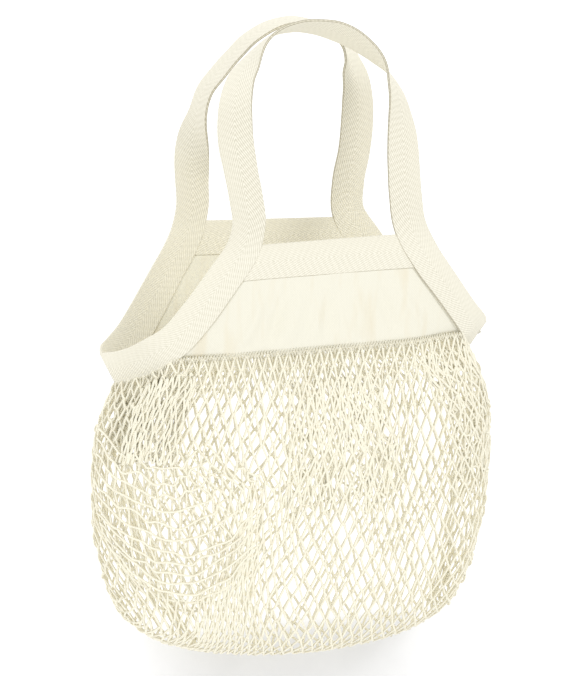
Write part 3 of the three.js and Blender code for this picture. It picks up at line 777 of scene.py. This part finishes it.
# The cord is let down onto its loops: no strand may be longer than it is, and
# loops closer than the cord is thick push each other apart.
SETTLING = 90                         # times that every loop gives way
ROAM = 6.0                            # how far a loop may end from where it began
TOO_CLOSE = CORD * 1.1
PULL, PUSH = 0.45, 0.25               # how much of each pull and push a loop follows
upper_row, lower_row = [], []
for row in range(COURSES):
    i = np.arange(ROUND)
    first = (i - 1) % ROUND if row % 2 == 0 else i
    second = i if row % 2 == 0 else (i + 1) % ROUND
    for partner in (first, second):
        upper_row.append(row * ROUND + i)
        lower_row.append((row + 1) * ROUND + partner)
upper_row, lower_row = np.concatenate(upper_row), np.concatenate(lower_row)
place = knots.reshape(-1, 3).copy()
start = place.copy()
for _ in range(SETTLING):
    d = place[lower_row] - place[upper_row]
    long = np.linalg.norm(d, axis=1)
    move = d * (np.maximum(long - STRAND, 0) / np.maximum(long, 1e-9) * 0.5)[:, None]
    pull = np.stack([np.bincount(upper_row, part, len(place)) - np.bincount(lower_row, part, len(place))
                     for part in move.T], 1)
    rows = place.reshape(COURSES + 1, ROUND, 3)
    gap = np.roll(rows, -1, 1) - rows
    wide = np.linalg.norm(gap, axis=2, keepdims=True)
    spread = gap / np.maximum(wide, 1e-9) * np.maximum(TOO_CLOSE - wide, 0) * PUSH
    place = place + pull * PULL + (np.roll(spread, 1, 1) - spread).reshape(-1, 3)
    drift = place - start
    far = np.linalg.norm(drift, axis=1, keepdims=True)
    place = start + drift * np.minimum(1, ROAM / np.maximum(far, 1e-9))
    place[:ROUND], place[-ROUND:] = start[:ROUND], start[-ROUND:]
knots = place.reshape(COURSES + 1, ROUND, 3)
knots[..., 2] = np.maximum(knots[..., 2], CORD * 0.6)

# Soft undyed cotton cord of two plies that slant across it, spun unevenly.
CORD_TWIST = 2.4                      # along the cord, from one crest of its plies to the next


def soft_cotton_cord():
    """Bright where it faces straight out or in, with painted shade greying its flanks, and creamier
    patches.
    """
    made, tree, output = new_material("soft_cotton_cord")
    cord = add_node(tree, "ShaderNodeAttribute", attribute_name="cord_mm")
    place = add_node(tree, "ShaderNodeSeparateXYZ", {0: cord.outputs["Vector"]})
    angle = add_node(tree, "ShaderNodeMath", {0: place.outputs["Y"], 1: place.outputs["X"]},
                     operation="ARCTAN2")
    twist = add_node(tree, "ShaderNodeMath", {0: place.outputs["Z"], 1: 2 * math.pi / CORD_TWIST},
                     operation="MULTIPLY")
    phase = add_node(tree, "ShaderNodeMath", {0: angle.outputs[0], 1: 2.0, 2: twist.outputs[0]},
                     operation="MULTIPLY_ADD")
    ply = add_node(tree, "ShaderNodeMath", {0: phase.outputs[0]}, operation="SINE")
    fuzz = add_node(tree, "ShaderNodeTexNoise", {"Scale": 700.0, "Detail": 3.0})
    relief = add_node(tree, "ShaderNodeMath", {0: fuzz.outputs["Fac"], 1: 1.4, 2: ply.outputs[0]},
                      operation="MULTIPLY_ADD")
    # Painted shade: where the cord turns side-on to the bag, its flanks are greyed.
    turned_out = add_node(tree, "ShaderNodeMath", {0: place.outputs["X"]}, operation="ABSOLUTE")
    painted_flank_shade = add_node(tree, "ShaderNodeMapRange", {"Value": turned_out.outputs[0], "From Min": 0.1,
                     "From Max": 0.8})
    tone = add_node(tree, "ShaderNodeMath", {0: relief.outputs[0], 1: 0.10, 2: painted_flank_shade.outputs["Result"]},
                    operation="MULTIPLY_ADD", use_clamp=True)
    plies_and_flank_shade = add_node(tree, "ShaderNodeMix", {0: tone.outputs[0], 6: linear("#e0dbc8"),
                    7: linear("#f6f2df")}, data_type="RGBA")
    patch = add_node(tree, "ShaderNodeTexNoise", {"Scale": 28.0, "Detail": 3.0})
    uneven = add_node(tree, "ShaderNodeMapRange", {"Value": patch.outputs["Fac"], "From Min": 0.5,
                      "From Max": 0.75, "To Max": 0.35})
    colour = add_node(tree, "ShaderNodeMix", {0: uneven.outputs["Result"], 6: plies_and_flank_shade.outputs[2],
                      7: linear("#ecdfc5")}, data_type="RGBA")
    bump = add_node(tree, "ShaderNodeBump", {"Height": relief.outputs[0], "Strength": 0.4,
                    "Distance": 0.12 * MM})
    cotton = add_node(tree, "ShaderNodeBsdfPrincipled", {"Base Color": colour.outputs[2], "Roughness": 0.92,
                      "Specular IOR Level": 0.15, "Sheen Weight": 0.2, "Sheen Roughness": 0.6,
                      "Normal": bump.outputs["Normal"]})
    tree.links.new(cotton.outputs["BSDF"], output.inputs["Surface"])
    return made


cord_cotton = soft_cotton_cord()
CORD_SIDES = 6
STRAND_STEPS = 7                      # of the cord, from loop to loop
LOOP_PROUD, LOOP_REACH = 0.12, 0.25   # how far a loop stands out and hooks on, in cords
LOOP_SPREAD = 1.3                     # how far from a loop the cord is thickened by it
LOOP_SWELL, SLUB = 0.14, 0.06         # how much thicker it is there, and uneven elsewhere
SAG = 0.25                            # the part of its slack that hangs towards the foot
NET_THICK, INSIDE_THICK = 1.08, 0.95  # times the cord's own thickness


def course(points, outs, ways, row, thick):
    """The path of one course of cord round the bag, with outward directions and thickness."""
    i = np.arange(points.shape[1])
    lower = i if row % 2 == 0 else (i + 1) % len(i)
    tops, bottoms = points[row], points[row + 1][lower]
    fall = unit(bottoms - tops)
    out = np.stack([outs[row], outs[row + 1][lower]], 1).reshape(-1, 3)
    way = np.stack([ways[row], ways[row + 1][lower]], 1).reshape(-1, 3)
    above = tops + CORD * (LOOP_PROUD * outs[row] - LOOP_REACH * fall)
    below = bottoms + CORD * (LOOP_REACH * fall - LOOP_PROUD * outs[row + 1][lower])
    turns = np.stack([above, below], 1).reshape(-1, 3)
    after, way_after, out_after = (np.roll(x, -1, 0) for x in (turns, way, out))
    straight = np.linalg.norm(after - turns, axis=1, keepdims=True)
    pull = 0.3 * np.abs(((after - turns) * way).sum(1, keepdims=True)) + 1.3
    t = np.linspace(0, 1, STRAND_STEPS, endpoint=False)[None, :, None]
    line = hermite(t, turns[:, None], (way * pull)[:, None], after[:, None], (way_after * pull)[:, None])
    slack = np.sqrt(np.maximum(STRAND - straight, 0) * straight * 0.3)
    bow = (out * noise.normal(0.15, 0.30, straight.shape) + way * noise.normal(0, 0.20, straight.shape)
           + np.array([0, -SAG, 0])) * slack + noise.normal(0, 0.12, turns.shape)
    line = line + bow[:, None] * np.sin(np.pi * t)
    line[..., 2] = np.maximum(line[..., 2], CORD * 0.5)
    facing_out = out[:, None] * (1 - t) + out_after[:, None] * t
    knot = ridge(np.minimum(t, 1 - t) * STRAND, 0, LOOP_SPREAD)[..., 0]
    slub = 1 + SLUB * noise.standard_normal((len(turns), 1))
    radius = CORD / 2 * (slub + LOOP_SWELL * knot) * thick
    return line.reshape(-1, 3), facing_out.reshape(-1, 3), radius.reshape(-1)


def cord_tube(path, out, radius, closed=True):
    """The rings and map of a round or a length of cord."""
    along = unit(np.roll(path, -1, 0) - np.roll(path, 1, 0) if closed else np.gradient(path, axis=0))
    out = unit(out - (out * along).sum(1, keepdims=True) * along)
    side = np.cross(along, out)
    angle = np.linspace(0, 2 * np.pi, CORD_SIDES, endpoint=False)[None, :, None]
    ring = np.cos(angle) * out[:, None] + np.sin(angle) * side[:, None]
    points = path[:, None] + ring * radius[:, None, None]
    walked = length_along(path)[:, None]
    cord = np.stack(np.broadcast_arrays(np.cos(angle)[..., 0], np.sin(angle)[..., 0], walked), -1)
    return points.reshape(-1, 3), cord.reshape(-1, 3)


def cord_piece(name, tubes, closed=True):
    """Rounds or lengths of cord, from the points and the map of each, as a piece of the net."""
    faces, start = [], 0
    for points, _ in tubes:
        faces += tube_faces(len(points) // CORD_SIDES, CORD_SIDES, start, closed)
        start += len(points)
    points = np.concatenate([points for points, _ in tubes])
    points[:, 2] = np.maximum(points[:, 2], FLOOR_CLEAR)
    piece(name, points, faces, cord_cotton, "cotton_net_cord", "net_body",
          cord_mm=np.concatenate([cord for _, cord in tubes]))


def net_part(name, points, first, last, thick=NET_THICK):
    """Some courses of a net as one piece."""
    outs, ways = facing(points)
    cord_piece(name, [cord_tube(*course(points, outs, ways, row, thick)) for row in range(first, last)])


net_part("net_shoulder_courses", knots, 0, 8)
net_part("net_upper_courses", knots, 8, 16)
net_part("net_lower_courses", knots, 16, 23)
net_part("net_foot_courses", knots, 23, COURSES)

# The net's raw top edge is turned in twice behind the seam and caught again by
# it, so for the first 30 mm there are slack layers of cord inside the first.
EDGE_ROWS = 4
for layer, (name, inside) in enumerate((("net_turned_edge", 1.5), ("net_raw_edge", 2.8))):
    turned = np.zeros((EDGE_ROWS, ROUND, 3))
    for row in range(EDGE_ROWS):
        at = (np.arange(ROUND) + 0.5 * (row % 2) + 0.33 * (layer + 1)) % ROUND
        front = at <= FRONT_STITCHES
        down = row * (1.0 - 0.15 * layer) / COURSES
        stray = noise.normal(0, 0.25 * LOOSE, at.shape) * (row > 0) / COURSES
        turned[row, front] = on_surface(front_net, at[front] / FRONT_STITCHES, down + stray[front])
        share = (ROUND - at[~front]) / (ROUND - FRONT_STITCHES)
        turned[row, ~front] = on_surface(back_net, share, down + stray[~front])
    side = np.abs(2 * np.where(at <= FRONT_STITCHES, at / FRONT_STITCHES,
                               (ROUND - at) / (ROUND - FRONT_STITCHES)) - 1)
    turned -= facing(turned)[0] * (inside * (1 + side ** 6))[:, None]
    net_part(name, turned, 0, EDGE_ROWS - 1, thick=INSIDE_THICK)

# In four places the gathered net stands in pleats under the seam: flattened
# folds of the same net, inside the front or, under the left tape, over it.
PLEAT_THICK = 1.6                     # from one layer of a fold to the other


def outward_from(place, u, v):
    """Directions out of the front of the net, from places on it at shares u across and v down."""
    return unit(np.cross(on_surface(front_net, u + 0.01, v) - place,
                         on_surface(front_net, u, v - 0.01) - place))


def pleat(name, across, down, stitches, rows, inside, uneven):
    """A flattened fold of net, between two shares across, with its foot uneven."""
    there = np.linspace(0, 1, stitches)
    share = across[0] + (across[1] - across[0]) * np.concatenate([there, there[::-1]])
    level = np.repeat([inside, inside + PLEAT_THICK], stitches)
    folded = np.zeros((rows, 2 * stitches, 3))
    for row in range(rows):
        step = 0.5 * (row % 2) * (across[1] - across[0]) / stitches
        u = share + step + noise.normal(0, 0.2, share.shape) * (across[1] - across[0]) / stitches
        foot = down[1] + uneven * np.sin(share * 97 + inside)
        v = down[0] + (foot - down[0]) * row / (rows - 1) + noise.normal(0, 0.004, share.shape)
        folded[row] = on_surface(front_net, u, v)
        folded[row] -= outward_from(folded[row], u, v) * level[:, None]
    net_part(name, folded, 0, rows - 1)


pleat("net_middle_pleat", (0.45, 0.63), (0.09, 0.46), 12, 9, 0.9, 0.03)
pleat("net_left_pleat", (0.115, 0.24), (0.05, 0.33), 11, 9, -2.4, 0.0)
pleat("net_side_pleat", (0.01, 0.15), (0.03, 0.26), 9, 8, 4.0, 0.03)
pleat("net_right_pleat", (0.76, 0.93), (0.05, 0.52), 8, 13, 1.6, 0.03)

# On the left the slack of the net hangs over the front as a drape, pulled askew
# until its cells stand square: one set of strands sags, the other hangs.
DRAPE = [[(0.0, 0.183), (0.10, 0.283), (0.194, 0.35), (0.244, 0.342), (0.275, 0.31), (0.30, 0.26)],
         [(0.013, 0.475), (0.119, 0.575), (0.206, 0.608), (0.281, 0.60), (0.356, 0.533), (0.41, 0.43)],
         [(0.075, 0.708), (0.15, 0.775), (0.231, 0.81), (0.30, 0.79), (0.362, 0.72), (0.41, 0.60)]]
DRAPE_ROWS, DRAPE_COLUMNS = 13, 16
DRAPE_PROUD, DRAPE_SINK = 1.6, 4.5    # it lies on the front, and goes in among it at two edges
DRAPE_APART = 0.4                     # of each set of strands, from the middle of the drape


def drape(name):
    """Strands of cord through a grid of places between the drape's three curves."""
    curves = np.stack([resample(np.array(c), np.linspace(0, 1, len(c)), np.linspace(0, 1, DRAPE_COLUMNS))
                       for c in DRAPE])
    level = np.linspace(0, len(DRAPE) - 1, DRAPE_ROWS)
    u, v = (resample(curves[..., k], range(len(DRAPE)), level) for k in (0, 1))
    u = u + noise.normal(0, 0.0035, u.shape)
    v = v + noise.normal(0, 0.0050, v.shape)
    place = on_surface(front_net, u, v)
    outward = outward_from(place, u, v)
    at_right = smooth((np.linspace(0, 1, DRAPE_COLUMNS)[None] - 0.72) / 0.28)
    at_foot = smooth((level[:, None] - 1.6) / 0.4)
    place = place + outward * (DRAPE_PROUD - DRAPE_SINK * np.minimum(at_right + at_foot, 1))[..., None]
    over, under = place + outward * DRAPE_APART, place - outward * DRAPE_APART
    sagging = [(over[i], outward[i]) for i in range(DRAPE_ROWS)]
    hanging = [(under[:, k], outward[:, k]) for k in range(DRAPE_COLUMNS)]
    tubes = []
    for way, out in sagging + hanging:
        path, side = spline(way, STRAND_STEPS), spline(out, STRAND_STEPS)
        knot = np.cos(np.pi * np.arange(len(path)) / STRAND_STEPS) ** 8
        tubes.append(cord_tube(path, side, CORD / 2 * (0.97 + 0.16 * knot), closed=False))
    cord_piece(name, tubes, closed=False)


drape("net_left_drape")

# Overlocking thread runs in a zigzag over the cut edge of the canvas and catches
# the net. It is the last of the sewing, and is drawn a little coarse to be seen.
OVERLOCK_STITCH, OVERLOCK_REACH, OVERLOCK_THREAD = 2.2, 2.4, 0.8
OVERLOCK_RETURN = 0.3                 # how far under its outer run the thread comes back


def overlock(name, seam, outward):
    """A thin thread in a zigzag along the seam, a little proud of the cloth."""
    line = even(seam, int(length_along(seam)[-1] / (0.5 * OVERLOCK_STITCH)))
    zigzag = np.where(np.arange(len(line)) % 2, OVERLOCK_REACH, -OVERLOCK_REACH)
    line = line + np.stack([0 * zigzag, zigzag + 0.5, np.full(len(line), outward)], 1)
    line = resample(line, np.arange(len(line)), np.arange(0, len(line) - 1, 0.5))
    line[:, 2] = np.maximum(line[:, 2], 0.3)
    back = line[::-1] + (0, 0, -OVERLOCK_RETURN * np.sign(outward))
    ring = np.concatenate([line, back])
    out = np.tile([0, 0, np.sign(outward)], (len(ring), 1))
    cord_piece(name, [cord_tube(ring, out, np.full(len(ring), OVERLOCK_THREAD / 2))])


overlock("front_overlock_thread", front_net[0], 1.1)
overlock("back_overlock_thread", back_net[0], -1.1)
